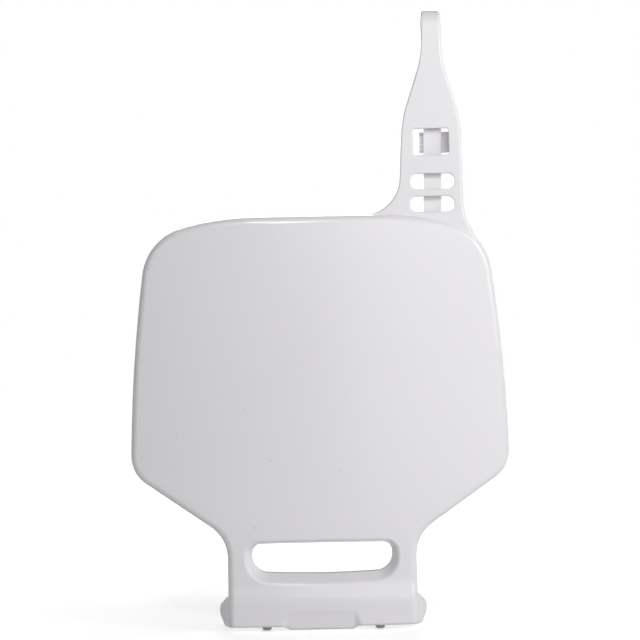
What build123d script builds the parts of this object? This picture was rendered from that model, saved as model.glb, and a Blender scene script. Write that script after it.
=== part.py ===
from build123d import *
from math import asin, atan2, cos, degrees, hypot, pi, radians, sin, sqrt, tan
import os

# A moulded number board for a racing motorbike, front towards -Y, top towards +Z, in millimetres.
# The origin lies midway between the two locating pins, on the lower faces of the bosses that hold them.

# Board outline, seen from the front
board_top_z = 250.6
widest_half = 121.1
widest_z = 88.2
shoulder_inset = 12.9
shoulder_drop = 11.6
top_slope_run = 45.9
flank_bulge = 2.7
waist_z = 46.8
chin_half = 60.1
skirt_z = -9.0
top_blend_share = 0.46
shoulder_blend_share = 0.53
widest_radius = 21.3
waist_radius = 23.6

# Board section: upright below the crown, curved back above it
wall = 2.5
rim_depth = 7.5
edge_roll = 4.6
front_y = -8.0
crown_z = 60.0
plan_radius = 600.0
side_radius = 4200.0

# Chin: the ramp under the slot, and the skirt that stands proud of it
ramp_top_z = 17.5
ramp_foot_z = 8.0
ramp_rise = 3.0
ramp_blend = 12.0

# Slot in the chin, wider at its mouth than at its rear
slot_half = 44.4
slot_foot_z = 25.6
slot_height = 16.9
slot_top_share = 0.33
slot_foot_share = 0.58
mouth_flare = 4.2
mouth_rise = 1.7
mouth_drop = 6.5
mouth_lip = 2.0

# Recess in the middle of the skirt, deeper towards its foot, and the tongue below it
recess_x = -1.2
recess_half = 21.5
recess_top_z = 1.0
recess_lip = 0.2
recess_tilt = 12.0
recess_draft = 65.0
recess_radius = 3.0
tongue_half = 24.0
tongue_tip_half = 20.0
tongue_drop = 2.4

# Ears that fold back at both ends of the skirt
ear_flare = 22.0
ear_reach = 21.5
ear_tip_z = 0.8
ear_foot_reach = 8.0
ear_root_reach = 3.0
ear_top_z = 9.8
ear_tip_radius = 5.0

# Locating pins and the bosses that hold them
pin_radius = 3.0
pin_spacing = 72.0
pin_free = 11.9
pin_seated = 12.0
pin_bevel = 0.7
pin_head_radius = 4.0
boss_radius = 7.0
boss_cap = 2.0
web_thick = 6.0
web_height = 10.0

# Tab at the top right, set back behind the rolled edge, and the leaning strap that grows out of it
strap_x = 73.8
strap_lean = 1.1
strap_thick = 2.4
left_bevel = 0.7
right_round = 2.0
tab_front_y = 5.1
tab_foot_half = 20.8
tab_half = 19.0
tab_height = 59.4
tab_blend = 80.0
taper_length = 39.1
neck_half = 7.0
neck_blend = 60.0
neck_length = 22.6
root_radius = 24.1
brace_spread = 14.0
brace_drop = 28.0
brace_radius = 35.6

# Fold at the top of the strap and the tail that comes down behind the tab
fold_radius = 8.0
fold_half = 6.2
fold_lean = 14.0
tail_half = 5.7
tail_shift = 1.0
tail_gap = 0.5
tail_bend = 25.0
tail_overhang = 14.0
tail_round = 4.0
tail_bevel = 0.7

# Window with the keeper hook, and the oblong slots under it
window_half = 11.4
window_shift = -0.2
window_height = 17.0
window_drop = 4.7
window_radius = 1.0
oblong_half = 14.0
oblong_shift = 0.8
oblong_height = 10.0
oblong_radius = 4.0
oblong_drop = 16.8
oblong_spacing = 14.5
opening_bevel = 0.5
keeper_height = 13.2
keeper_reach = 18.6
keeper_thick = 2.0
keeper_gap = 0.6
ridge_count = 5
ridge_width = 1.3
ridge_rise = 0.4

# Clear room outside the part for cutting solids, how near two points or heights count as the same,
# and the share of a face's direction that makes it a front or a side
room = 40.0
match = 0.01
steep = 0.5


def plan_sag(x):
    """How far the front has curved back at a distance from the middle line."""
    return plan_radius - sqrt(plan_radius**2 - x**2)


def rim_rear_y(x):
    """Rear of the rim at the board's top, at a distance from the middle line."""
    rear_radius = plan_radius - rim_depth
    sag = rear_radius - sqrt(rear_radius**2 - x**2)
    reach = side_radius - rim_depth - sag
    return front_y + side_radius - sqrt(reach**2 - (board_top_z - crown_z) ** 2)


skirt_y = front_y - ramp_rise
shoulder = (widest_half - shoulder_inset, board_top_z - shoulder_drop)
top_corner = (shoulder[0] - top_slope_run, board_top_z)
tab_back_y = tab_front_y + strap_thick
tail_front_y = rim_rear_y(strap_x + tail_shift + tail_half) + tail_gap
tail_back_y = tail_front_y + strap_thick
tab_top_z = board_top_z + tab_height
neck_z = tab_top_z + taper_length
fold_y = tab_back_y + fold_radius
fold_z = neck_z + neck_length
fold_top_z = fold_z + fold_radius + strap_thick
brace_z = board_top_z - brace_drop
pin_x = pin_spacing / 2
upwards = (Align.CENTER, Align.CENTER, Align.MIN)
downwards = (Align.CENTER, Align.CENTER, Align.MAX)


def strap_axis(z):
    """Middle line of the leaning strap at a height. The fold itself stands square."""
    return strap_x + (min(z, fold_z) - board_top_z) * tan(radians(strap_lean))


window_top_z = tab_top_z - window_drop
window_z = window_top_z - window_height / 2
window_x = strap_axis(window_z) + window_shift
window_right_x = window_x + window_half
upper_oblong_z = window_top_z - window_height - oblong_drop
lower_oblong_z = upper_oblong_z - oblong_spacing
tail_end_z = lower_oblong_z - oblong_height / 2 - tail_overhang
recess_normal = (0, -cos(radians(recess_tilt)), -sin(radians(recess_tilt)))
recess_floor = Plane((recess_x, skirt_y + recess_lip, recess_top_z), x_dir=(1, 0, 0), z_dir=recess_normal)


def front_prism(sketch, near_y, far_y):
    """Solid with an outline drawn in X and Z, between two planes of constant Y."""
    return extrude(Plane.XZ.offset(-far_y) * sketch, far_y - near_y)


def rounded_face(corners):
    """Closed face with its corners given in order, each with its radius."""
    return make_face(FilletPolyline(list(corners), radius=list(corners.values()), close=True))


def inset_corner(before, corner, after, inset):
    """Corner of an outline that runs clockwise, once the sides that meet there have moved inwards."""
    there = (Vector(*corner) - Vector(*before)).normalized()
    onward = (Vector(*after) - Vector(*corner)).normalized()
    inwards = Vector(there.Y + onward.Y, -there.X - onward.X)
    moved = Vector(*corner) + inwards * (inset / (1 + there.dot(onward)))
    return (moved.X, moved.Y)


def board_outline(foot_z, inset):
    """Outline of the board and its chin without the tab, moved inwards by a distance."""
    middle = (0, board_top_z)
    sharp_flank = (widest_half, widest_z)
    sharp_waist = (chin_half, waist_z)
    crest = inset_corner(middle, top_corner, shoulder, inset)
    brow = inset_corner(top_corner, shoulder, sharp_flank, inset)
    flank = inset_corner(shoulder, sharp_flank, sharp_waist, inset)
    waist = inset_corner(sharp_flank, sharp_waist, (chin_half, foot_z), inset)
    foot = (chin_half - inset, foot_z)
    half = [
        Line((0, board_top_z - inset), crest),
        Line(crest, brow),
        SagittaArc(brow, flank, flank_bulge),
        Line(flank, waist),
        Line(waist, foot),
        Line(foot, (0, foot_z)),
    ]
    outline = make_face([*half, *(edge.mirror(Plane.YZ) for edge in half)])
    slope_length = hypot(top_slope_run, shoulder_drop)
    top_turn = atan2(shoulder_drop, top_slope_run)
    shoulder_turn = pi / 2 - top_turn - atan2(shoulder_inset, shoulder[1] - widest_z)
    rounded = {
        crest: slope_length * top_blend_share / tan(top_turn / 2) - inset,
        brow: slope_length * shoulder_blend_share / tan(shoulder_turn / 2) - inset,
        flank: widest_radius - inset,
        waist: waist_radius + inset,
    }
    for (x, z), radius in rounded.items():
        corners = outline.vertices().filter_by(lambda v: abs(abs(v.X) - x) + abs(v.Y - z) < match)
        outline = fillet(corners, radius)
    return outline


def board_form(outline, set_back, depth):
    """Solid of an outline behind the board's curved front, which is set back by a distance."""
    low_z = skirt_z - 2 * room
    ramp = [(front_y, ramp_top_z), (skirt_y, ramp_foot_z)]
    front = FilletPolyline((front_y, crown_z), *ramp, (skirt_y, low_z), radius=ramp_blend)
    rear = front.moved(Location((depth, 0)))
    section = make_face([front, rear, Line(front @ 0, rear @ 0), Line(front @ 1, rear @ 1)])
    upright = Axis((0, front_y + plan_radius, 0), (0, 0, 1))
    lower = revolve(Plane.YZ * Pos(set_back, 0) * section, upright).rotate(upright, 180)

    radius = plan_radius - set_back
    front_strip = Pos(0, -plan_radius) * Rectangle(2 * (widest_half + room), plan_radius)
    plan = (Circle(radius) - Circle(radius - depth)) & front_strip
    level = Axis((0, front_y + side_radius, crown_z), (-1, 0, 0))
    rise = degrees(asin((board_top_z + room - crown_z) / side_radius))
    upper = revolve(Plane((0, front_y + plan_radius, crown_z)) * plan, level, rise)

    return (lower + upper) & front_prism(outline, skirt_y - room, front_y + depth + 2 * room)


def front_rim(form):
    """Edges round the front of the board, without the lower edge of the skirt."""
    fronts = form.faces().filter_by(lambda f: f.normal_at().Y < -steep)
    sides = form.faces().filter_by(lambda f: abs(f.normal_at().Y) < steep)
    return (fronts.edges() & sides.edges()).filter_by(lambda e: e.center().Z > skirt_z + match)


def slot_section(share, grow):
    """Outline of the chin slot, or of the collar grown round it: a share of 0 is its rear, 1 its mouth."""
    half = slot_half + share * mouth_flare
    foot = slot_foot_z - share * mouth_drop
    height = slot_height + share * (mouth_drop + mouth_rise)
    top_radius = height * slot_top_share + grow
    foot_radius = height * slot_foot_share + grow
    corners = {
        (-half - grow, foot + height + grow): top_radius,
        (half + grow, foot + height + grow): top_radius,
        (half + grow, foot - grow): foot_radius,
        (-half - grow, foot - grow): foot_radius,
    }
    return rounded_face(corners)


def slot_funnel(grow):
    """Flared solid of the chin slot, or of the collar round it, from before the skirt to behind it."""
    rear_y = front_y + plan_sag(slot_half) + rim_depth
    near_y = skirt_y - wall
    rear = slot_section(0, grow)
    near = slot_section((rear_y - near_y) / rim_depth, grow)
    flared = loft([Plane.XZ.offset(-near_y) * near, Plane.XZ.offset(-rear_y) * rear], ruled=True)
    return flared + front_prism(rear, rear_y, rear_y + room)


def recess_cut():
    """Wedge of the recess with its sloping sides, from its floor to in front of the skirt."""
    reach = 2 * wall
    foot = skirt_z - room

    def outline(grow):
        half = recess_half + grow
        rounding = recess_radius + grow
        corners = {(-half, foot): 0, (-half, grow): rounding, (half, grow): rounding, (half, foot): 0}
        return rounded_face(corners)

    spread = reach * tan(radians(recess_draft))
    return loft([recess_floor * outline(0), recess_floor.offset(reach) * outline(spread)], ruled=True)


def tongue():
    """Plate behind the recess, whose lower end shows below the skirt."""
    skirt = skirt_z - recess_top_z
    right = [(tongue_half, 0), (tongue_half, skirt), (tongue_tip_half, skirt - tongue_drop)]
    left = [(-x, z) for x, z in reversed(right)]
    return extrude(recess_floor * make_face(Polyline(*right, *left, close=True)), -wall)


def right_ear():
    """Flat ear that runs back from the rolled edge of the skirt and flares outwards."""
    flare = radians(ear_flare)
    corner_y = skirt_y + plan_sag(chin_half)
    start = (chin_half - edge_roll * (1 - cos(flare)), corner_y + edge_roll * (1 - sin(flare)), 0)
    plane = Plane(start, x_dir=(sin(flare), cos(flare), 0), z_dir=(cos(flare), -sin(flare), 0))
    corners = {
        (-wall / 2, skirt_z): 0,
        (ear_foot_reach, skirt_z): 0,
        (ear_reach, ear_tip_z): ear_tip_radius,
        (ear_root_reach, ear_top_z): 0,
        (-wall / 2, ear_top_z): 0,
    }
    return extrude(plane * rounded_face(corners), -wall)


def right_boss():
    """Boss for a locating pin, with the web that ties it to the skirt."""
    boss = Pos(pin_x, 0, 0) * Cylinder(boss_radius, pin_seated + boss_cap, align=upwards)
    reach = -(skirt_y + plan_sag(pin_x) + wall / 2)
    web = Pos(pin_x, 0, 0) * Box(web_thick, reach, web_height, align=(Align.CENTER, Align.MAX, Align.MIN))
    return boss + web


def right_pin_head():
    """The thicker end of a pin, moulded into its boss."""
    return Pos(pin_x, 0, 0) * Cylinder(pin_head_radius, pin_seated, align=upwards)


def right_pin():
    """Steel pin, bevelled at its free end."""
    shank = Pos(pin_x, 0, 0) * Cylinder(pin_radius, pin_free, align=downwards)
    return right_pin_head() + chamfer(shank.edges().group_by(Axis.Z)[0], pin_bevel)


def both_sides(solid):
    return solid + solid.mirror(Plane.YZ)


def strap_band(side_face, outline):
    """Strap with a given side view and front view."""
    return extrude(Plane.YZ * side_face, 2 * strap_x) & front_prism(outline, -room, room)


def outside_edges(strap, outside):
    """Long edges of a strap on its front, for an outside of -1, or on its back, for 1."""
    narrow = strap.faces().filter_by(lambda f: abs(f.normal_at().X) > match)
    level = strap.faces().filter_by(lambda f: abs(f.normal_at().X) < match)
    broad = level.filter_by(lambda f: outside * f.normal_at().Y > steep)
    return (narrow.edges() & broad.edges()).filter_by(lambda e: abs(e.center().Y - fold_y) > match)


def right_of_axis(edge):
    return edge.center().X > strap_axis(edge.center().Z)


def fold_point(radius, angle):
    return (fold_y + radius * cos(radians(angle)), fold_z + radius * sin(radians(angle)))


def tab_side():
    """Side view of the tab and the front half of the fold."""
    inner = fold_radius
    outer = fold_radius + strap_thick
    return make_face(
        [
            Line((tab_front_y, brace_z), (tab_front_y, fold_z)),
            CenterArc((fold_y, fold_z), outer, 90, 90),
            Line(fold_point(outer, 90), fold_point(inner, 90)),
            CenterArc((fold_y, fold_z), inner, 90, 90),
            Line((tab_back_y, fold_z), (tab_back_y, brace_z)),
            Line((tab_back_y, brace_z), (tab_front_y, brace_z)),
        ]
    )


def tail_side():
    """Side view of the rear half of the fold and the tail."""

    def edge_line(side):
        radius = fold_radius + side
        start = fold_point(radius, -fold_lean)
        y = tail_front_y + side
        bend = (y, start[1] - (start[0] - y) / tan(radians(fold_lean)))
        return [
            CenterArc((fold_y, fold_z), radius, -fold_lean, 90 + fold_lean),
            FilletPolyline(start, bend, (y, tail_end_z), radius=tail_bend - side),
        ]

    ends = [
        Line(fold_point(fold_radius, 90), fold_point(fold_radius + strap_thick, 90)),
        Line((tail_front_y, tail_end_z), (tail_back_y, tail_end_z)),
    ]
    return make_face([*edge_line(0), *edge_line(strap_thick), *ends])


def strap_sides(rows):
    """Corners up the left edge and down the right, from rows of height, shift, half width and radius."""
    left = {(strap_axis(z) + shift - half, z): radius for z, shift, half, radius in rows}
    right = {(strap_axis(z) + shift + half, z): radius for z, shift, half, radius in reversed(rows)}
    return {**left, **right}


def tab_outline():
    """Front view of the tab and strap, down to where they join the board's rim."""
    rows = [
        (board_top_z, 0, tab_foot_half, root_radius),
        (tab_top_z, 0, tab_half, tab_blend),
        (neck_z, 0, neck_half, neck_blend),
        (fold_z, 0, fold_half, neck_blend),
        (fold_top_z, 0, fold_half, 0),
    ]
    sides = strap_sides(rows)
    root_x = strap_x - tab_foot_half - root_radius - wall
    brace_x = strap_x + tab_foot_half
    sides[(brace_x, board_top_z)] = brace_radius
    foot = {(brace_x + brace_spread, brace_z): 0, (root_x, brace_z): 0}
    return rounded_face({(root_x, board_top_z): 0, **sides, **foot})


def tail_outline():
    """Front view of the tail, tapering from the fold to its rounded end."""
    rows = [
        (tail_end_z, tail_shift, tail_half, tail_round),
        (window_top_z, tail_shift, tail_half, neck_blend),
        (fold_z, 0, fold_half, neck_blend),
        (fold_top_z, 0, fold_half, 0),
    ]
    return rounded_face(strap_sides(rows))


def tab_openings():
    """The window and the two oblong slots."""
    openings = Pos(window_x, window_z) * RectangleRounded(2 * window_half, window_height, window_radius)
    for z in (upper_oblong_z, lower_oblong_z):
        oblong = RectangleRounded(2 * oblong_half, oblong_height, oblong_radius)
        openings += Pos(strap_axis(z) + oblong_shift, z) * oblong
    return front_prism(openings, tab_front_y - wall, (tab_back_y + tail_front_y) / 2)


def opening_edges(tab):
    """Edges of the openings on the front of the tab."""
    fronts = tab.faces().filter_by(lambda f: f.normal_at().Y < -steep)
    flat = fronts.filter_by(lambda f: abs(f.center().Y - tab_front_y) < match)
    return flat.sort_by(SortBy.AREA)[-1].inner_wires().edges()


def keeper():
    """Hook from the window's right edge that holds the tail to the tab, with grip ridges on its inside."""
    inner_y = tail_back_y + keeper_gap
    outer_y = inner_y + keeper_thick
    root_y = tab_front_y + strap_thick / 2
    end_x = window_right_x - keeper_reach
    elbow = inner_y - tab_back_y
    corners = {
        (window_right_x, root_y): 0,
        (window_right_x, inner_y): elbow,
        (end_x, inner_y): 0,
        (end_x, outer_y): 0,
        (window_right_x + keeper_thick, outer_y): elbow + keeper_thick,
        (window_right_x + keeper_thick, root_y): 0,
    }
    hook = extrude(Plane.XY.offset(window_z - keeper_height / 2) * rounded_face(corners), keeper_height)
    pitch = keeper_height / ridge_count
    for index in range(ridge_count):
        z = window_z + (index - (ridge_count - 1) / 2) * pitch
        low = (inner_y, z - ridge_width / 2)
        high = (inner_y, z + ridge_width / 2)
        ridge = make_face(Polyline(low, (inner_y - ridge_rise, z), high, close=True))
        hook += extrude(Plane.YZ.offset(end_x) * ridge, keeper_reach / 2)
    return hook


outer = board_form(board_outline(skirt_z, 0), 0, rim_depth)
outer = outer.fillet(edge_roll, front_rim(outer))
pierced = outer - slot_funnel(0)
slot_edges = new_edges(outer, slot_funnel(0), combined=pierced)
pierced = pierced.fillet(mouth_lip, slot_edges.filter_by(lambda e: e.center().Y < front_y + rim_depth / 2))
inside = board_outline(skirt_z - room, wall)
hollow = board_form(inside, wall, room) - slot_funnel(wall)
board = pierced - hollow
board += tongue()
board -= recess_cut()

side_y = skirt_y + plan_sag(chin_half) + edge_roll
side_cut = Box(2 * wall, room, room, align=(Align.CENTER, Align.MIN, Align.MAX))
board -= both_sides(Pos(chin_half, side_y, ear_top_z) * side_cut)
board += both_sides(right_ear())
board += both_sides(right_boss())
board -= both_sides(right_pin_head())

tab = strap_band(tab_side(), tab_outline())
tab = tab.fillet(right_round, outside_edges(tab, -1).filter_by(right_of_axis))
tab = tab.chamfer(left_bevel, None, outside_edges(tab, -1).filter_by(right_of_axis, reverse=True))
tab -= front_prism(inside, -room, room)
tab -= tab_openings()
tab = tab.chamfer(opening_bevel, None, opening_edges(tab))
tail = strap_band(tail_side(), tail_outline())
tail = tail.chamfer(tail_bevel, None, outside_edges(tail, 1))
board += tab + tail + keeper()

pins = Compound(children=[right_pin(), right_pin().mirror(Plane.YZ)])

os.makedirs("parts", exist_ok=True)
export_step(board, "parts/number_board.step")
export_step(pins, "parts/locating_pins.step")
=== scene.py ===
import math

import bpy
from mathutils import Matrix, Vector


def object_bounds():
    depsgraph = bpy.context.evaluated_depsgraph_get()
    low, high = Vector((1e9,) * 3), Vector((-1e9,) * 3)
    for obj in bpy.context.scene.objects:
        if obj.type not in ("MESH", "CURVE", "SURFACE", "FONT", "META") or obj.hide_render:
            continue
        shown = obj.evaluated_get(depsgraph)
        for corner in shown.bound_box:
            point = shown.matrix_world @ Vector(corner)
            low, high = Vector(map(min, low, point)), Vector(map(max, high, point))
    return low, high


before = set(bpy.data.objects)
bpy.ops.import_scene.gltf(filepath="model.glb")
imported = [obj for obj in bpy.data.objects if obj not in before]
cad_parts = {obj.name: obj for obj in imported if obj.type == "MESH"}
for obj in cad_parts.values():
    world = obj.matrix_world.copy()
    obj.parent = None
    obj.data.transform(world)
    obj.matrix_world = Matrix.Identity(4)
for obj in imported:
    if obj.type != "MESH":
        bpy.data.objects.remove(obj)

cad_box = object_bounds()

# Camera: straight at the board's front, a little rolled, as in the photograph
IMAGE_SIDE = 640
METRES_PER_PIXEL = 0.000638
CAMERA_DISTANCE = 1.4
SCALE_PLANE_Y = 0.0045
AIM_X = 0.00157
AIM_Z = 0.1844
CAMERA_ROLL = math.radians(-1.146)
SENSOR_MM = 36.0

# Square lamps that aim at the board's middle: place, side in metres and watts
BOARD_MIDDLE = (0, 0, 0.18)
LAMPS = {
    "key": ((1.025, -0.665, 0.625), 0.7, 6.6),
    "fill": ((0.75, -1.55, 0.3), 1.4, 6.2),
    "front": ((0.239, -1.123, 0.79), 0.9, 3.0),
    "strip": ((-0.148, -1.055, 0.926), 0.22, 2.9),
    "back": ((0.0, 1.222, 0.625), 0.7, 9.5),
}
AMBIENT = 0.04
WHITE = (1, 1, 1, 1)

# Floor: its own light is weaker near the object, so that the object's shadow shows there
FLOOR_GAP = 0.0002
FLOOR_HALF = 4.0
PAPER_COLOUR = (0.8, 0.8, 0.8, 1)
NEAR_RADIUS, NEAR_GLOW = 0.1, 0.5
FAR_RADIUS, FAR_GLOW = 0.7, 1.0

# White plastic
PLASTIC_IOR = 1.46
FLOW_SCALE = 9.0
FLOW_DARK = (0.819, 0.804, 0.827, 1)
FLOW_PALE = (0.829, 0.814, 0.837, 1)
FLOW_RANGE = (0.3, 0.7)
SPECK_SCALE = 45.0
SPECK_RANGE = (0.014, 0.024)
SPECK_DARKNESS = 0.62
HAZE_SCALE = 35.0
PLASTIC_ROUGHNESS = (0.17, 0.21)
PEEL_SCALE = 420.0
PEEL_STRENGTH, PEEL_DEPTH = 0.04, 0.0002
SOFT_EDGE_SAMPLES = 6
SLOT_FOOT_RANGE = (0.022, 0.03)
CHIN_EDGE, UPPER_EDGE = 0.003, 0.0003

# Turned steel
RING_STRETCH = (40.0, 40.0, 3000.0)
RING_STRENGTH, RING_DEPTH = 0.15, 0.0001
DULL_SCALE = 300.0
# Both steel colours are darker than bare steel: partly the pins' own dark tone, partly painted shade and
# painted dark reflections for their place under the chin
SHADED_STEEL_DARK = (0.16, 0.16, 0.165, 1)
SHADED_STEEL_PALE = (0.30, 0.30, 0.31, 1)
STEEL_ROUGHNESS = (0.28, 0.45)


def node(tree, kind, sockets=(), **settings):
    """New node. Each socket takes a constant, or a link where the value is another node's output."""
    made = tree.nodes.new(kind)
    for name, value in settings.items():
        setattr(made, name, value)
    for socket, value in dict(sockets).items():
        if isinstance(value, bpy.types.NodeSocket):
            tree.links.new(value, made.inputs[socket])
        else:
            made.inputs[socket].default_value = value
    return made


def noise(tree, place, scale, detail=2.0):
    made = node(tree, "ShaderNodeTexNoise", {"Vector": place, "Scale": scale, "Detail": detail})
    return made.outputs["Fac"]


def remap(tree, value, to_range, from_range=(0.0, 1.0)):
    sockets = {"Value": value, "From Min": from_range[0], "From Max": from_range[1]}
    sockets.update({"To Min": to_range[0], "To Max": to_range[1]})
    return node(tree, "ShaderNodeMapRange", sockets).outputs["Result"]


def blend(tree, value, colours, positions=(0.0, 1.0)):
    made = node(tree, "ShaderNodeValToRGB", {"Fac": value})
    for element, colour, position in zip(made.color_ramp.elements, colours, positions):
        element.color = colour
        element.position = position
    return made.outputs["Color"]


def new_material(name):
    material = bpy.data.materials.new(name)
    material.use_nodes = True
    material.node_tree.nodes.clear()
    return material


def finish_surface(tree, shader):
    node(tree, "ShaderNodeOutputMaterial", {"Surface": shader.outputs[0]})


def white_plastic():
    """Glossy moulded plastic: faint flow marks, a few dark specks, an uneven gloss and slight orange peel.

    The edges of the chin are shaded softer than those above the slot's foot, as in the photograph.
    """
    material = new_material("white_plastic")
    tree = material.node_tree
    place = node(tree, "ShaderNodeTexCoord").outputs["Object"]

    flow = noise(tree, place, FLOW_SCALE, detail=3.0)
    tint = blend(tree, flow, (FLOW_DARK, FLOW_PALE), FLOW_RANGE)
    specks = node(tree, "ShaderNodeTexVoronoi", {"Vector": place, "Scale": SPECK_SCALE})
    dust = remap(tree, specks.outputs["Distance"], (SPECK_DARKNESS, 1.0), SPECK_RANGE)
    colour = node(
        tree, "ShaderNodeMix", {"Factor": 1.0, "A": tint, "B": dust}, data_type="RGBA", blend_type="MULTIPLY"
    )

    gloss = remap(tree, noise(tree, place, HAZE_SCALE, detail=5.0), PLASTIC_ROUGHNESS)

    height = node(tree, "ShaderNodeSeparateXYZ", {"Vector": place}).outputs["Z"]
    radius = remap(tree, height, (CHIN_EDGE, UPPER_EDGE), SLOT_FOOT_RANGE)
    soft_edge = node(tree, "ShaderNodeBevel", {"Radius": radius}, samples=SOFT_EDGE_SAMPLES)
    peel = {"Strength": PEEL_STRENGTH, "Distance": PEEL_DEPTH, "Height": noise(tree, place, PEEL_SCALE)}
    bump = node(tree, "ShaderNodeBump", {**peel, "Normal": soft_edge.outputs["Normal"]})

    sockets = {"Base Color": colour.outputs["Result"], "Roughness": gloss, "IOR": PLASTIC_IOR}
    shader = node(tree, "ShaderNodeBsdfPrincipled", {**sockets, "Normal": bump.outputs["Normal"]})
    finish_surface(tree, shader)
    return material


def turned_steel():
    """Steel with fine rings from turning and a dull patch here and there, coloured darker than bare steel:
    partly the pins' own dark tone, partly painted shade for their place under the chin.
    """
    material = new_material("turned_steel")
    tree = material.node_tree
    place = node(tree, "ShaderNodeTexCoord").outputs["Object"]

    stretched = node(tree, "ShaderNodeMapping", {"Vector": place, "Scale": RING_STRETCH}).outputs["Vector"]
    rings = noise(tree, stretched, 1.0)
    # The blended steel colours carry painted shade as well as the dull patches
    tint = blend(tree, noise(tree, place, DULL_SCALE), (SHADED_STEEL_DARK, SHADED_STEEL_PALE))
    rough = remap(tree, rings, STEEL_ROUGHNESS)
    bump = node(tree, "ShaderNodeBump", {"Strength": RING_STRENGTH, "Distance": RING_DEPTH, "Height": rings})

    sockets = {"Base Color": tint, "Roughness": rough, "Metallic": 1.0}
    shader = node(tree, "ShaderNodeBsdfPrincipled", {**sockets, "Normal": bump.outputs["Normal"]})
    finish_surface(tree, shader)
    return material


def seen_directly(tree):
    """1 for rays from the camera and in mirrors and glass, 0 for the light that falls on the object."""
    path = node(tree, "ShaderNodeLightPath").outputs
    rays = {0: path["Is Camera Ray"], 1: path["Is Glossy Ray"]}
    either = node(tree, "ShaderNodeMath", rays, operation="MAXIMUM").outputs[0]
    rays = {0: either, 1: path["Is Transmission Ray"]}
    return node(tree, "ShaderNodeMath", rays, operation="MAXIMUM").outputs[0]


def make_world():
    """White where it is seen, and a weak even light on the object."""
    world = bpy.data.worlds.new("studio")
    world.use_nodes = True
    tree = world.node_tree
    tree.nodes.clear()
    soft = node(tree, "ShaderNodeBackground", {"Color": WHITE, "Strength": AMBIENT}).outputs[0]
    white = node(tree, "ShaderNodeBackground", {"Color": WHITE, "Strength": 1.0}).outputs[0]
    mix = node(tree, "ShaderNodeMixShader", {"Fac": seen_directly(tree), 1: soft, 2: white})
    node(tree, "ShaderNodeOutputWorld", {"Surface": mix.outputs[0]})
    bpy.context.scene.world = world


def make_floor(level):
    """Pale paper that shows white away from the object and keeps the object's shadow near it."""
    mesh = bpy.data.meshes.new("floor")
    corners = [(-1, -1), (1, -1), (1, 1), (-1, 1)]
    mesh.from_pydata([(x * FLOOR_HALF, y * FLOOR_HALF, level) for x, y in corners], [], [(0, 1, 2, 3)])
    floor = bpy.data.objects.new("floor", mesh)
    bpy.context.scene.collection.objects.link(floor)

    material = new_material("pale_floor")
    tree = material.node_tree
    place = node(tree, "ShaderNodeTexCoord").outputs["Object"]
    away = node(tree, "ShaderNodeVectorMath", {0: place}, operation="LENGTH").outputs["Value"]
    fade = remap(tree, away, (NEAR_GLOW, FAR_GLOW), (NEAR_RADIUS, FAR_RADIUS))
    share = node(tree, "ShaderNodeMath", {0: seen_directly(tree), 1: fade}, operation="MULTIPLY")
    glow = node(tree, "ShaderNodeEmission", {"Strength": share.outputs[0]})
    paper = node(tree, "ShaderNodeBsdfDiffuse", {"Color": PAPER_COLOUR})
    finish_surface(tree, node(tree, "ShaderNodeAddShader", {0: paper.outputs[0], 1: glow.outputs[0]}))
    mesh.materials.append(material)


def area_light(name, place, side, watts):
    data = bpy.data.lights.new(name, "AREA")
    data.shape = "SQUARE"
    data.size = side
    data.energy = watts
    lamp = bpy.data.objects.new(name, data)
    lamp.location = place
    lamp.rotation_euler = (Vector(BOARD_MIDDLE) - Vector(place)).to_track_quat("-Z", "Y").to_euler()
    bpy.context.scene.collection.objects.link(lamp)


def make_camera():
    data = bpy.data.cameras.new("camera")
    data.sensor_width = SENSOR_MM
    data.lens = SENSOR_MM * CAMERA_DISTANCE / (IMAGE_SIDE * METRES_PER_PIXEL)
    camera = bpy.data.objects.new("camera", data)
    turn = Matrix.Rotation(math.radians(90), 4, "X") @ Matrix.Rotation(CAMERA_ROLL, 4, "Z")
    camera.matrix_world = Matrix.Translation((AIM_X, SCALE_PLANE_Y - CAMERA_DISTANCE, AIM_Z)) @ turn
    bpy.context.scene.collection.objects.link(camera)
    bpy.context.scene.camera = camera


finishes = {"number_board": white_plastic(), "locating_pins": turned_steel()}
for name, finish in finishes.items():
    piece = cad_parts[name]
    piece.data.materials.clear()
    piece.data.materials.append(finish)

make_world()
make_floor(cad_box[0][2] - FLOOR_GAP)
for name, (place, side, watts) in LAMPS.items():
    area_light(name, place, side, watts)
make_camera()
bpy.context.scene.view_settings.view_transform = "Standard"
